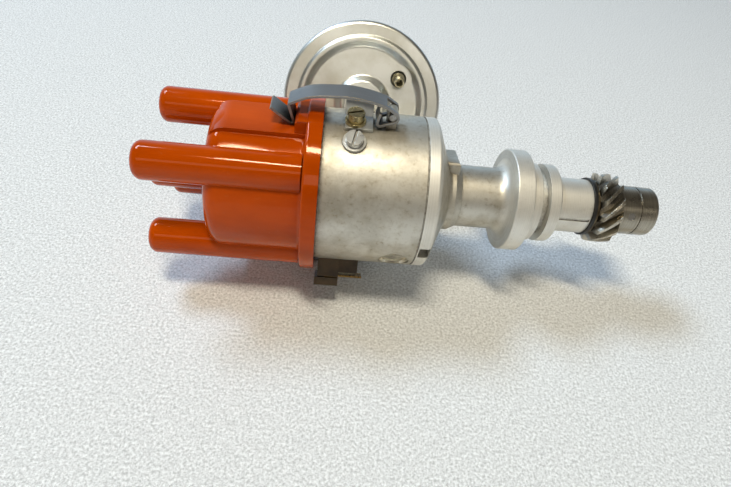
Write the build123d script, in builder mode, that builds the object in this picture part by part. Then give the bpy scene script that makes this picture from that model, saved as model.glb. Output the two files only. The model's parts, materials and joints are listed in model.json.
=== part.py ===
from build123d import *
from math import cos, pi, radians, sin
import os

# Ignition distributor for a four-cylinder engine. Millimetres.
# X runs along the drive shaft, from the cap (-X) to the drive gear (+X). Z is up: the two cap clips lie on
# top and underneath, and the vacuum unit hangs on the +Y side. The origin is on the shaft axis, in the plane
# where the collar seats on the engine block. Angles around the shaft start at +Y and turn towards +Z.

# ---- clearances ----
running_gap = 0.05
fit_gap = 0.03
slot_gap = 0.12

# ---- along the shaft, from the seating plane ----
collar_length = 7.8
neck_length = 21.3
boss_length = 5.9
cone_length = 7.2
barrel_length = 47.8
pilot_front_length = 5.2
seal_groove_length = 3.6
pilot_back_length = 5.1
shank_length = 16.6
rim_x = -(collar_length + neck_length + boss_length + cone_length + barrel_length)
barrel_end_x = rim_x + barrel_length
boss_start_x = barrel_end_x + cone_length
neck_start_x = boss_start_x + boss_length
groove_start_x = pilot_front_length
groove_end_x = groove_start_x + seal_groove_length
pilot_end_x = groove_end_x + pilot_back_length
shank_end_x = pilot_end_x + shank_length

# ---- housing ----
barrel_r = 33.0
barrel_wall = 3.5
bore_r = barrel_r - barrel_wall
end_wall = 3.8
floor_x = barrel_end_x - end_wall
boss_r = 15.8
boss_tail_r = 14.3
neck_r = 13.8
collar_r = 22.7
pilot_r = 17.5
groove_r = 13.6
shank_r = 12.27
line_groove_back = 5.7
line_groove_width = 0.7
line_groove_depth = 0.5
bush_r = 8.5
upper_bush_length = 18.0
lower_bush_length = 16.0
shaft_bore_r = 7.2
cast_lug_angle = 78.8
cast_lug_length = 8.6
cast_lug_width = 15.0
cast_lug_height = 3.0
cast_lug_back = 6.2

# ---- cap ----
cap_ring_overhang = 5.0
cap_ring_r = barrel_r + cap_ring_overhang
cap_ring_length = 6.3
cap_body_inset = 2.0
cap_body_r = barrel_r - cap_body_inset
cap_wall = 3.8
cap_length = 45.4
crown_round = 6.0
tower_inset = 2.6
tower_pitch_r = cap_body_r - tower_inset
tower_r = 7.7
tower_reach = 25.2
centre_tower_r = 7.2
centre_tower_reach = 27.5
tower_round = 3.4
tower_angles = (45, 135, 225, 315)
cavity_r = cap_body_r - cap_wall
cavity_depth = 38.0
spigot_r = bore_r - 0.25
spigot_depth = 2.4
land_height = 0.3
land_r = cap_body_r + land_height
land_half_width = 10.0
catch_length = 4.6
catch_half_width = 9.5
catch_chamfer = 1.2
catch_r = cap_ring_r - catch_chamfer
catch_foot_r = cap_body_r - 2.0
lead_bore_r = 4.2
lead_bore_depth = 15.0
cup_r = 3.9
cup_length = 6.0
cup_wall = 1.0
cup_base = 1.0
ring_x = rim_x - cap_ring_length
crown_x = rim_x - cap_length
cavity_x = rim_x - cavity_depth
catch_x = ring_x - catch_length
terminal_r = 2.6
segment_depth = 22.0
brush_r = 2.5
brush_length = 11.0

# ---- drive line ----
shaft_r = 6.0
spindle_r = 4.7
seal_washer = 1.4
brass_washer = 1.0
end_float = 0.2
gear_x = shank_end_x + seal_washer + brass_washer + end_float
gear_length = 11.4
gear_teeth = 13
gear_tip_r = 15.7
gear_root_r = 12.3
gear_twist = -45.0
hub_length = 17.3
hub_r = 11.04
cross_pin_r = 1.65
cross_pin_x = gear_x + gear_length + 4.8
cross_pin_angle = 155.6
shaft_end_x = gear_x + gear_length + hub_length - 1.0

# ---- advance mechanism: all set back from the barrel floor ----
thrust_washer = 2.4
carrier_thickness = 1.8
carrier_r = bore_r - 3.5
weight_thickness = 4.8
weight_gap = 0.3
yoke_thickness = 2.0
thrust_x = floor_x - thrust_washer - end_float
carrier_x = thrust_x - carrier_thickness
weight_x = carrier_x - weight_gap - weight_thickness
yoke_x = weight_x - weight_gap - yoke_thickness
weight_pivot_r = 19.0
weight_pivot_pin_r = 2.4
drive_pin_pitch_r = 10.0
drive_pin_r = 1.5
sleeve_r = 7.0
sleeve_top_x = rim_x - 6.0

# ---- pick-up ----
plate_thickness = 1.5
carrier_plate_x = rim_x + 20.1
moving_plate_x = carrier_plate_x - 0.2 - plate_thickness
plate_pivot_r = 12.0
moving_plate_r = bore_r - 3.5
magnet_length = 5.4
coil_length = 7.5
stator_thickness = 1.5
magnet_x = moving_plate_x - magnet_length
coil_x = magnet_x - coil_length
stator_x = coil_x - stator_thickness
coil_inner_r = 15.5
coil_outer_r = bore_r - 6.0
trigger_tip_r = 12.2
trigger_gap = 0.4

# ---- rotor arm ----
rotor_hub_r = 9.5
rotor_top_x = rim_x - 23.0
rotor_arm_thickness = 4.0
rotor_gap = 0.6
rotor_reach = tower_pitch_r - terminal_r - rotor_gap
contact_thickness = 1.0

# ---- vacuum unit: its axis leans back over the housing ----
can_lean = 31.0
can_x = rim_x + 17.5
can_height = barrel_r + 3.0
can_face = 42.2
can_boss_top = 40.4
can_rim_r = 39.9
can_step_r = 33.0
can_sheet = 1.0
can_depth = 24.0
rod_r = 1.5
pull_pin_r = 1.25
ear_width = 8.0
nipple_r = 2.5
nipple_bore_r = 1.65
nipple_lean = 15.0
nipple_length = 10.2
nipple_stop_r = 3.2
nipple_stop_length = 2.6

# ---- bracket, screws and clips ----
bracket_sheet = 1.5
bracket_x = rim_x + 14.0
bracket_width = 11.2
bracket_top = barrel_r + 6.4
screw_x = rim_x + 12.5
plate_screw_angle = 110.3
bracket_screw_angle = 93.3
thread_r = 2.0
head_r = 3.5
head_height = 2.6
clip_sheet = 1.0
clip_width = 9.0
clip_window = 5.4
clip_lug_width = 4.8
clip_pin_r = 1.5
clip_pin_x = rim_x + 26.9
clip_pin_height = barrel_r + 5.9

os.makedirs("parts", exist_ok=True)


def turn(points, rounds=(), mode=Mode.ADD):
    """Revolve a profile of (x, radius) corners about the shaft axis; rounds are (corner, radius) pairs."""
    with BuildSketch(Plane.XY) as profile:
        with BuildLine():
            Polyline(*points, close=True)
        make_face()
        for corner, radius in rounds:
            fillet(profile.vertices().sort_by_distance(Vector(*corner))[0], radius)
    revolve(profile.sketch, axis=Axis.X, mode=mode)


def ring(start_x, end_x, outer, inner=0.0, mode=Mode.ADD):
    """A plain ring or disc about the shaft axis."""
    turn([(start_x, inner), (start_x, outer), (end_x, outer), (end_x, inner)], mode=mode)


def around(x, angle, radius=0.0):
    """A plane that faces outwards from the shaft axis, with its own X along the shaft."""
    a = radians(angle)
    return Plane(origin=(x, radius * cos(a), radius * sin(a)), x_dir=(1, 0, 0), z_dir=(0, cos(a), sin(a)))


def post(x, angle, start_r, end_r, radius, mode=Mode.ADD):
    """A radial pin or hole between two distances from the shaft axis."""
    with BuildSketch(around(x, angle, start_r)) as profile:
        Circle(radius)
    extrude(profile.sketch, amount=end_r - start_r, mode=mode)


def pad(x, angle, start_r, end_r, length, width, mode=Mode.ADD):
    """A radial block between two distances from the shaft axis."""
    with BuildSketch(around(x, angle, start_r)) as profile:
        Rectangle(length, width)
    extrude(profile.sketch, amount=end_r - start_r, mode=mode)


def bar(start_x, end_x, y, z, radius, mode=Mode.ADD):
    """A round bar or hole parallel to the shaft."""
    with BuildSketch(Plane.YZ.offset(start_x)) as profile:
        with Locations((y, z)):
            Circle(radius)
    extrude(profile.sketch, amount=end_x - start_x, mode=mode)


def save(part, name):
    part.part.label = name
    export_step(part.part, f"parts/{name}.step")


# ================= housing =================
cast_lug_x = neck_start_x - cast_lug_back
notch_angle = 191.5
notch_length = 4.6
notch_width = 6.6
shank_slot_angle = 172.0
shank_slot_length = 15.0
plug_x = rim_x + 34.0
plug_angle = 206.8
plug_r = 6.6
ear_angle = 90.0 - can_lean
ear_travel = 8.0
ear_x = moving_plate_x + plate_thickness / 2
block_x = rim_x + 6.4
block_angle = 235.8
block_stem_r = 3.0
rod_slot_width = ear_width + ear_travel - 0.4
lug_start_r = barrel_r - 3.0
lug_eye_r = clip_pin_r + 0.8
collar_fillet = 5.0

with BuildPart() as housing:
    turn(
        [
            (rim_x, 0), (rim_x, barrel_r), (barrel_end_x, barrel_r), (boss_start_x, boss_r),
            (neck_start_x - 3.0, boss_r), (neck_start_x, boss_tail_r), (neck_start_x, neck_r),
            (-collar_length, neck_r), (-collar_length, collar_r), (0, collar_r), (0, pilot_r),
            (groove_start_x, pilot_r), (groove_start_x, groove_r), (groove_end_x, groove_r),
            (groove_end_x, pilot_r), (pilot_end_x, pilot_r), (pilot_end_x, shank_r),
            (shank_end_x, shank_r), (shank_end_x, 0),
        ],
        rounds=[
            ((barrel_end_x, barrel_r), 1.6), ((boss_start_x, boss_r), 2.0),
            ((-collar_length, neck_r), collar_fillet), ((-collar_length, collar_r), 0.6),
            ((0, collar_r), 0.6), ((pilot_end_x, pilot_r), 0.8),
        ],
    )
    pad(cast_lug_x, cast_lug_angle, boss_r - 6.0, boss_r + cast_lug_height, cast_lug_length, cast_lug_width)
    lug_top = around(cast_lug_x, cast_lug_angle, boss_r + cast_lug_height).origin
    fillet(housing.faces().filter_by(GeomType.PLANE).sort_by_distance(lug_top)[0].edges(), 1.4)
    for side in (1, -1):
        pad(clip_pin_x, side * 90, lug_start_r, clip_pin_height, 4.0, clip_lug_width)
        for hole_r, mode in ((lug_eye_r, Mode.ADD), (clip_pin_r, Mode.SUBTRACT)):
            with BuildSketch(Plane.XZ) as lug_eye:
                with Locations((clip_pin_x, side * clip_pin_height)):
                    Circle(hole_r)
            extrude(lug_eye.sketch, amount=clip_lug_width / 2, both=True, mode=mode)
    ring(rim_x - 1.0, floor_x, bore_r, mode=Mode.SUBTRACT)
    ring(floor_x - 1.0, shank_end_x + 1.0, shaft_bore_r, mode=Mode.SUBTRACT)
    ring(floor_x - 1.0, floor_x + upper_bush_length, bush_r, mode=Mode.SUBTRACT)
    ring(shank_end_x - lower_bush_length, shank_end_x + 1.0, bush_r, mode=Mode.SUBTRACT)
    ring(
        barrel_end_x - line_groove_back, barrel_end_x - line_groove_back + line_groove_width,
        barrel_r + 1.0, barrel_r - line_groove_depth, mode=Mode.SUBTRACT,
    )
    pad(barrel_end_x - notch_length / 2 + 0.1, notch_angle, bore_r - 3.0, barrel_r + 2.0, notch_length,
        notch_width, mode=Mode.SUBTRACT)
    post(plug_x, plug_angle, bore_r - 2.0, barrel_r + 2.0, plug_r, mode=Mode.SUBTRACT)
    post(screw_x, plate_screw_angle, bore_r - 2.0, barrel_r + 2.0, thread_r, mode=Mode.SUBTRACT)
    post(screw_x, plate_screw_angle + 180, bore_r - 2.0, barrel_r + 2.0, thread_r, mode=Mode.SUBTRACT)
    post(screw_x, bracket_screw_angle, bore_r - 2.0, barrel_r + 2.0, thread_r, mode=Mode.SUBTRACT)
    post(block_x, block_angle, bore_r - 3.0, barrel_r + 2.0, block_stem_r, mode=Mode.SUBTRACT)
    pad(ear_x, ear_angle - ear_travel / 2, bore_r - 3.0, barrel_r + 3.0, plate_thickness + 2.0,
        rod_slot_width, mode=Mode.SUBTRACT)
    pad(pilot_end_x + shank_slot_length / 2 + 1.0, shank_slot_angle, shank_r - 0.5, shank_r + 2.0,
        shank_slot_length, 1.2, mode=Mode.SUBTRACT)
save(housing, "housing")

with BuildPart() as barrel_plug:
    with BuildSketch(around(plug_x, plug_angle)) as plug_profile:
        Circle(plug_r)
    extrude(plug_profile.sketch, amount=barrel_r - 0.4)
    with BuildSketch(around(plug_x, plug_angle, barrel_r - 1.4)) as plug_dish:
        Circle(plug_r - 1.3)
    extrude(plug_dish.sketch, amount=3.0, taper=-30, mode=Mode.SUBTRACT)
    ring(rim_x, barrel_end_x, bore_r - 0.2, mode=Mode.SUBTRACT)
save(barrel_plug, "barrel_plug")

with BuildPart() as upper_bush:
    ring(floor_x, floor_x + upper_bush_length, bush_r, shaft_r + running_gap)
save(upper_bush, "upper_bush")

with BuildPart() as lower_bush:
    ring(shank_end_x - lower_bush_length, shank_end_x, bush_r, shaft_r + running_gap)
save(lower_bush, "lower_bush")

# ================= cap =================
guide_x = cavity_x + 8.0
brush_x = rotor_top_x - contact_thickness - 0.1 - brush_length
spring_seat_x = brush_x - 3.0
centre_stem_r = 2.0


def tower(y, z, tip_x, end_x, radius, mode=Mode.ADD):
    """A lead tower: a bar parallel to the shaft with a rounded tip."""
    with BuildSketch(Plane(origin=(0, y, z), x_dir=(1, 0, 0), z_dir=(0, 0, 1))) as profile:
        with BuildLine():
            Polyline((tip_x, 0), (tip_x, radius), (end_x, radius), (end_x, 0), close=True)
        make_face()
        fillet(profile.vertices().sort_by_distance(Vector(tip_x, radius))[0], tower_round)
    revolve(profile.sketch, axis=Axis((0, y, z), (1, 0, 0)), mode=mode)


def lead_bore(tip_x, y, z, reach_x, stem_r):
    """The stepped hole for a lead, its brass cup and the cup's stem."""
    cup_x = tip_x + lead_bore_depth
    bar(tip_x - 1, cup_x, y, z, lead_bore_r, mode=Mode.SUBTRACT)
    bar(cup_x - 1, cup_x + cup_length, y, z, cup_r, mode=Mode.SUBTRACT)
    bar(cup_x + cup_length - 1, reach_x, y, z, stem_r, mode=Mode.SUBTRACT)


with BuildPart() as distributor_cap:
    turn(
        [
            (rim_x, 0), (rim_x, cap_ring_r), (ring_x, cap_ring_r), (ring_x, cap_body_r),
            (crown_x, cap_body_r), (crown_x, 0),
        ],
        rounds=[
            ((ring_x, cap_ring_r), 1.0), ((ring_x, cap_body_r), 1.6), ((crown_x, cap_body_r), crown_round),
        ],
    )
    with BuildSketch(Plane.XZ) as land_profile:
        with BuildLine():
            Polyline(
                (crown_x + 0.5, -land_r), (crown_x + 0.5, land_r), (ring_x + 1.0, land_r),
                (ring_x + 1.0, -land_r), close=True,
            )
        make_face()
        fillet(land_profile.vertices().group_by(Axis.X)[0], crown_round + 1.5)
    extrude(land_profile.sketch, amount=land_half_width, both=True)
    with BuildSketch(Plane.XZ) as catch_profile:
        for side in (1, -1):
            with BuildLine():
                Polyline(
                    (catch_x, side * catch_foot_r), (catch_x, side * (catch_r - catch_chamfer)),
                    (catch_x + catch_chamfer, side * catch_r), (ring_x + 1.5, side * catch_r),
                    (ring_x + 1.5, side * catch_foot_r), close=True,
                )
            make_face()
    extrude(catch_profile.sketch, amount=catch_half_width, both=True)
    for angle in tower_angles:
        a = radians(angle)
        tower(tower_pitch_r * cos(a), tower_pitch_r * sin(a), crown_x - tower_reach, ring_x - 0.6, tower_r)
    tower(0, 0, crown_x - centre_tower_reach, crown_x + 8.0, centre_tower_r)
    ring(rim_x, rim_x + spigot_depth, spigot_r)
    turn(
        [(cavity_x, 0), (cavity_x, cavity_r), (rim_x + 5.0, cavity_r), (rim_x + 5.0, 0)],
        rounds=[((cavity_x, cavity_r), 2.0)], mode=Mode.SUBTRACT,
    )
    ring(cavity_x - 1.0, guide_x, 5.2)
    bar(spring_seat_x, guide_x + 1.0, 0, 0, brush_r + running_gap, mode=Mode.SUBTRACT)
    lead_bore(crown_x - centre_tower_reach, 0, 0, spring_seat_x + 1.0, centre_stem_r)
    for angle in tower_angles:
        a = radians(angle)
        lead_bore(crown_x - tower_reach, tower_pitch_r * cos(a), tower_pitch_r * sin(a),
                  rim_x - segment_depth, terminal_r)
save(distributor_cap, "distributor_cap")


def lead_socket(tip_x, y, z, reach_x, stem_r):
    """A brass terminal moulded into the cap: a cup for the lead and a stem into the cavity."""
    cup_x = tip_x + lead_bore_depth
    bar(cup_x, cup_x + cup_length, y, z, cup_r - fit_gap)
    bar(cup_x - 1.0, cup_x + cup_length - cup_base, y, z, cup_r - cup_wall, mode=Mode.SUBTRACT)
    bar(cup_x + cup_length - cup_base, reach_x, y, z, stem_r)


for number, angle in enumerate(tower_angles, start=1):
    a = radians(angle)
    with BuildPart() as cap_terminal:
        lead_socket(crown_x - tower_reach, tower_pitch_r * cos(a), tower_pitch_r * sin(a),
                    rim_x - segment_depth, terminal_r)
    save(cap_terminal, f"cap_terminal_{number}")

with BuildPart() as centre_terminal:
    lead_socket(crown_x - centre_tower_reach, 0, 0, spring_seat_x, centre_stem_r)
save(centre_terminal, "centre_terminal")

with BuildPart() as carbon_brush:
    bar(brush_x, brush_x + brush_length, 0, 0, brush_r)
    fillet(carbon_brush.edges().group_by(Axis.X)[-1], 0.6)
save(carbon_brush, "carbon_brush")


def coil_spring(plane, radius, length, turns, wire_r):
    """A round-wire compression spring along the plane's own Z."""
    path = plane.location * Helix(pitch=length / turns, height=length, radius=radius)
    with BuildSketch(Plane(origin=path @ 0, z_dir=path % 0)) as wire:
        Circle(wire_r)
    sweep(wire.sketch, path=path)


with BuildPart() as brush_spring:
    coil_spring(Plane(origin=(spring_seat_x + 0.35, 0, 0), z_dir=(1, 0, 0)), 1.7, 2.3, 2, 0.25)
save(brush_spring, "brush_spring")

# ================= rotor arm and cam sleeve =================
rotor_angle = 135.0
arm_x = rotor_top_x + rotor_arm_thickness

with BuildPart() as rotor_arm:
    ring(arm_x - 0.5, rim_x - 3.0, rotor_hub_r)
    with BuildSketch(Plane.YZ.offset(rotor_top_x)) as arm_profile:
        Circle(rotor_hub_r)
        with BuildSketch(mode=Mode.PRIVATE) as arm_blade:
            with Locations((rotor_reach / 2 - 1.0, 0)):
                Rectangle(rotor_reach - 1.0, 13.0)
            fillet(arm_blade.vertices().group_by(Axis.X)[-1], 3.0)
        add(arm_blade.sketch, rotation=rotor_angle)
    extrude(arm_profile.sketch, amount=rotor_arm_thickness)
    ring(sleeve_top_x, rim_x, sleeve_r + fit_gap, mode=Mode.SUBTRACT)
save(rotor_arm, "rotor_arm")

with BuildPart() as rotor_contact:
    with BuildSketch(Plane.YZ.offset(rotor_top_x - contact_thickness)) as contact_profile:
        Circle(5.2)
        with BuildSketch(mode=Mode.PRIVATE) as contact_strip:
            with Locations((rotor_reach / 2, 0)):
                Rectangle(rotor_reach, 5.0)
        add(contact_strip.sketch, rotation=rotor_angle)
    extrude(contact_profile.sketch, amount=contact_thickness)
save(rotor_contact, "rotor_contact")

spindle_start_x = yoke_x + yoke_thickness + 0.4

with BuildPart() as cam_sleeve:
    ring(sleeve_top_x + 0.5, yoke_x + yoke_thickness, sleeve_r)
    ring(yoke_x, yoke_x + yoke_thickness, 9.0)
    for angle in (0, 180):
        with BuildSketch(Plane.YZ.offset(yoke_x)) as ear_profile:
            with Locations(Rot(0, 0, angle) * Pos(drive_pin_pitch_r, 0)):
                RectangleRounded(7.4, 8.0, 1.5)
        extrude(ear_profile.sketch, amount=yoke_thickness)
    for angle in (0, 180):
        with BuildSketch(Plane.YZ.offset(yoke_x - 1.0)) as slot_profile:
            with Locations(Rot(0, 0, angle) * Pos(drive_pin_pitch_r + 0.3, 0)):
                SlotOverall(2 * (drive_pin_r + slot_gap) + 1.1, 2 * (drive_pin_r + slot_gap))
        extrude(slot_profile.sketch, amount=yoke_thickness + 2.0, mode=Mode.SUBTRACT)
    ring(sleeve_top_x, yoke_x + yoke_thickness + 1.0, spindle_r + running_gap, mode=Mode.SUBTRACT)
save(cam_sleeve, "cam_sleeve")

trigger_x = stator_x
trigger_length = 4.0

with BuildPart() as trigger_wheel:
    ring(trigger_x, trigger_x + trigger_length, 9.6)
    for angle in tower_angles:
        with BuildSketch(Plane.YZ.offset(trigger_x)) as tooth_profile:
            with Locations(Rot(0, 0, angle) * Pos(trigger_tip_r - 2.2, 0)):
                Rectangle(4.4, 3.0)
        extrude(tooth_profile.sketch, amount=trigger_length)
    ring(trigger_x - 1, trigger_x + trigger_length + 1, trigger_tip_r + 1.5, trigger_tip_r, mode=Mode.SUBTRACT)
    ring(trigger_x - 1, trigger_x + trigger_length + 1, sleeve_r + fit_gap, mode=Mode.SUBTRACT)
save(trigger_wheel, "trigger_wheel")

# ================= pick-up =================
with BuildPart() as pickup_stator:
    ring(stator_x, stator_x + stator_thickness, coil_outer_r, coil_inner_r)
    for angle in tower_angles:
        with BuildSketch(Plane.YZ.offset(stator_x)) as pole_profile:
            with Locations(Rot(0, 0, angle) * Pos(coil_inner_r - 1.0, 0)):
                Rectangle(4.0, 3.0)
        extrude(pole_profile.sketch, amount=stator_thickness)
    ring(stator_x - 1, stator_x + stator_thickness + 1, trigger_tip_r + trigger_gap, mode=Mode.SUBTRACT)
save(pickup_stator, "pickup_stator")

with BuildPart() as pickup_coil:
    turn([
        (coil_x, coil_inner_r), (coil_x, coil_outer_r), (coil_x + 1.0, coil_outer_r),
        (coil_x + 1.0, coil_outer_r - 1.0), (magnet_x - 1.0, coil_outer_r - 1.0),
        (magnet_x - 1.0, coil_outer_r), (magnet_x, coil_outer_r), (magnet_x, coil_inner_r),
    ])
save(pickup_coil, "pickup_coil")

with BuildPart() as pickup_magnet:
    ring(magnet_x, moving_plate_x, coil_outer_r, coil_inner_r)
save(pickup_magnet, "pickup_magnet")

pull_pin_x = moving_plate_x - 3.8

with BuildPart() as moving_plate:
    ring(moving_plate_x, moving_plate_x + plate_thickness, moving_plate_r)
    with BuildSketch(Plane.YZ.offset(moving_plate_x)) as ear_profile:
        with BuildSketch(mode=Mode.PRIVATE) as ear_blade:
            with Locations(((can_height + 2.5 + moving_plate_r - 6.0) / 2, 0)):
                Rectangle(can_height + 2.5 - (moving_plate_r - 6.0), ear_width)
            fillet(ear_blade.vertices().group_by(Axis.X)[-1], 2.5)
        add(ear_blade.sketch, rotation=ear_angle)
    extrude(ear_profile.sketch, amount=plate_thickness)
    ring(moving_plate_x - 1, moving_plate_x + plate_thickness + 1, plate_pivot_r, mode=Mode.SUBTRACT)
save(moving_plate, "moving_plate")

with BuildPart() as pull_pin:
    bar(pull_pin_x, moving_plate_x, can_height * cos(radians(ear_angle)),
        can_height * sin(radians(ear_angle)), pull_pin_r)
save(pull_pin, "pull_pin")

retainer_x = moving_plate_x - 0.2 - 0.8

with BuildPart() as plate_carrier:
    ring(carrier_plate_x, carrier_plate_x + plate_thickness, bore_r - 0.2)
    ring(retainer_x - 0.4, carrier_plate_x, plate_pivot_r - running_gap)
    for side in (0, 180):
        pad((screw_x + carrier_plate_x) / 2, plate_screw_angle + side, bore_r - 2.6, bore_r,
            carrier_plate_x - screw_x + 8.0, 9.0)
        post(screw_x, plate_screw_angle + side, bore_r - 4.0, bore_r, thread_r, mode=Mode.SUBTRACT)
    ring(rim_x, floor_x, bore_r + 3.0, bore_r - 0.1, mode=Mode.SUBTRACT)
    ring(rim_x, floor_x, 9.0, mode=Mode.SUBTRACT)
save(plate_carrier, "plate_carrier")

with BuildPart() as plate_retainer:
    ring(retainer_x, retainer_x + 0.8, plate_pivot_r + 2.4, plate_pivot_r - running_gap)
save(plate_retainer, "plate_retainer")

with BuildPart() as dust_cover:
    ring(rim_x + spigot_depth + 0.1, rim_x + spigot_depth + 0.9, bore_r - 0.15, rotor_hub_r + 0.9)
save(dust_cover, "dust_cover")

# ================= drive line =================
with BuildPart() as drive_shaft:
    turn(
        [
            (sleeve_top_x + 1.5, 0), (sleeve_top_x + 1.5, spindle_r), (spindle_start_x, spindle_r),
            (spindle_start_x, shaft_r), (shaft_end_x, shaft_r), (shaft_end_x, 0),
        ],
        rounds=[((sleeve_top_x + 1.5, spindle_r), 0.8), ((shaft_end_x, shaft_r), 0.8)],
    )
    post(cross_pin_x, cross_pin_angle, -shaft_r - 1, shaft_r + 1, cross_pin_r, mode=Mode.SUBTRACT)
save(drive_shaft, "drive_shaft")

with BuildPart() as thrust_ring:
    ring(thrust_x, thrust_x + thrust_washer, 11.0, shaft_r + fit_gap)
save(thrust_ring, "thrust_washer")

with BuildPart() as seal_ring:
    ring(shank_end_x + 0.1, shank_end_x + seal_washer, shank_r + 0.9, shaft_r + fit_gap)
save(seal_ring, "fibre_washer")

with BuildPart() as brass_ring:
    ring(shank_end_x + seal_washer, gear_x, shank_r + 0.3, shaft_r + fit_gap)
save(brass_ring, "brass_washer")

tooth_root_half = pi * gear_root_r / gear_teeth * 0.62
tooth_tip_half = pi * gear_tip_r / gear_teeth * 0.26

with BuildPart() as drive_gear:
    with BuildSketch(Plane.YZ.offset(gear_x)) as gear_profile:
        Circle(gear_root_r)
        with PolarLocations(0, gear_teeth):
            Polygon(
                (gear_root_r - 0.8, -tooth_root_half), (gear_tip_r, -tooth_tip_half),
                (gear_tip_r, tooth_tip_half), (gear_root_r - 0.8, tooth_root_half), align=None,
            )
    add(Solid.extrude_linear_with_rotation(
        gear_profile.sketch.faces()[0], center=(gear_x, 0, 0), normal=(gear_length, 0, 0), angle=gear_twist,
    ))
    turn(
        [
            (gear_x, gear_root_r - 1.0), (gear_x, gear_tip_r + 1), (gear_x + gear_length, gear_tip_r + 1),
            (gear_x + gear_length, gear_root_r - 1.0), (gear_x + gear_length - 1.6, gear_tip_r),
            (gear_x + 1.6, gear_tip_r),
        ],
        mode=Mode.SUBTRACT,
    )
    hub_x = gear_x + gear_length
    turn(
        [
            (hub_x - 1.0, 0), (hub_x - 1.0, hub_r), (hub_x + 8.6, hub_r), (hub_x + 8.6, hub_r - 0.35),
            (hub_x + 9.2, hub_r - 0.35), (hub_x + 9.2, hub_r), (hub_x + hub_length, hub_r),
            (hub_x + hub_length, 0),
        ],
        rounds=[((hub_x + hub_length, hub_r), 1.5)],
    )
    ring(gear_x - 1, hub_x + hub_length + 1, shaft_r + fit_gap, mode=Mode.SUBTRACT)
    post(cross_pin_x, cross_pin_angle, -hub_r - 1, hub_r + 1, cross_pin_r, mode=Mode.SUBTRACT)
save(drive_gear, "drive_gear")

with BuildPart() as cross_pin:
    post(cross_pin_x, cross_pin_angle, -hub_r + 0.1, hub_r - 0.1, cross_pin_r)
save(cross_pin, "cross_pin")

# ================= centrifugal advance =================
weight_eye_r = 4.2
spring_post_r = 1.1
spring_post_y = -10.5
spring_post_z = 15.0
spring_coil_r = 1.1
spring_wire_r = 0.25
spring_x = weight_x - 1.6
spring_post_x = spring_x - 1.2

with BuildPart() as weight_carrier:
    ring(carrier_x, carrier_x + carrier_thickness, carrier_r, shaft_r + fit_gap)
    for side in (1, -1):
        bar(spring_post_x, carrier_x, side * weight_pivot_r, 0, weight_pivot_pin_r)
save(weight_carrier, "weight_carrier")


def advance_weight(side):
    """One bob weight: an arm that swings on its pivot, with a peg towards the sleeve."""
    with BuildSketch(Plane.YZ.offset(weight_x)) as outline:
        with BuildLine():
            Polyline(
                (side * (weight_pivot_r + weight_eye_r), side * -1.0), (side * 21.0, side * 9.0),
                (side * 14.0, side * 17.0), (side * 3.0, side * 21.0), (side * -8.0, side * 19.5),
                (side * -13.5, side * 14.5), (side * -11.5, side * 10.5), (side * -3.0, side * 12.0),
                (side * 5.5, side * 9.5), (side * 8.0, side * 4.0), (side * 7.9, side * -2.4),
                (side * weight_pivot_r, side * -weight_eye_r), close=True,
            )
        make_face()
        fillet(outline.vertices(), 1.0)
    extrude(outline.sketch, amount=weight_thickness)
    bar(yoke_x + 0.2, weight_x, side * drive_pin_pitch_r, 0, drive_pin_r)
    bar(spring_post_x, weight_x, side * spring_post_y, side * spring_post_z, spring_post_r)
    bar(weight_x - 1, carrier_x + 1, side * weight_pivot_r, 0, weight_pivot_pin_r + running_gap,
        mode=Mode.SUBTRACT)


for side, name in ((1, "advance_weight_a"), (-1, "advance_weight_b")):
    with BuildPart() as weight:
        advance_weight(side)
    save(weight, name)

for side, name in ((1, "advance_spring_a"), (-1, "advance_spring_b")):
    pivot = Vector(spring_x, side * -weight_pivot_r, 0)
    anchor = Vector(spring_x, side * spring_post_y, side * spring_post_z)
    run = (anchor - pivot).normalized()
    start = pivot + run * (weight_pivot_pin_r + spring_wire_r + 0.1)
    end = anchor - run * (spring_post_r + spring_wire_r + 0.1)
    with BuildPart() as advance_spring:
        coil_spring(Plane(origin=start, z_dir=run), spring_coil_r, (end - start).length, 9, spring_wire_r)
    save(advance_spring, name)

# ================= vacuum unit =================
lean = radians(can_lean)
forward = Vector(0, -cos(lean), sin(lean))
upward = Vector(0, sin(lean), cos(lean))
can_centre = Vector(can_x, 0, 0) + upward * can_height
can_plane = Plane(origin=can_centre, x_dir=(1, 0, 0), z_dir=forward)
can_axis = Axis(can_centre, forward)
side_plane = Plane(origin=can_centre, x_dir=(1, 0, 0), z_dir=(can_plane.y_dir * -1))


def can_turn(points, rounds=(), mode=Mode.ADD):
    """Revolve a profile of (radius, distance forward of the shaft) corners about the vacuum unit's axis."""
    with BuildSketch(side_plane) as profile:
        with BuildLine():
            Polyline(*points, close=True)
        make_face()
        for corner, radius in rounds:
            fillet(profile.vertices().sort_by_distance(Vector(*corner))[0], radius)
    revolve(profile.sketch, axis=can_axis, mode=mode)


def can_bar(x, y, start, end, radius, mode=Mode.ADD):
    """A round bar or hole parallel to the vacuum unit's axis."""
    with BuildSketch(can_plane.offset(start)) as profile:
        with Locations((x, y)):
            Circle(radius)
    extrude(profile.sketch, amount=end - start, mode=mode)


rod_hole_r = 3.0
boss_top_r = 11.0
boss_foot_r = 14.0
dish_r = 28.0
ridge_r = 31.0
dish_depth = can_face + 1.0
well_r = 4.0
well_x = 17.1
well_y = 13.8
well_depth = can_face + 4.6
sheet = can_sheet
edge_back = can_face + 5.2

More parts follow.
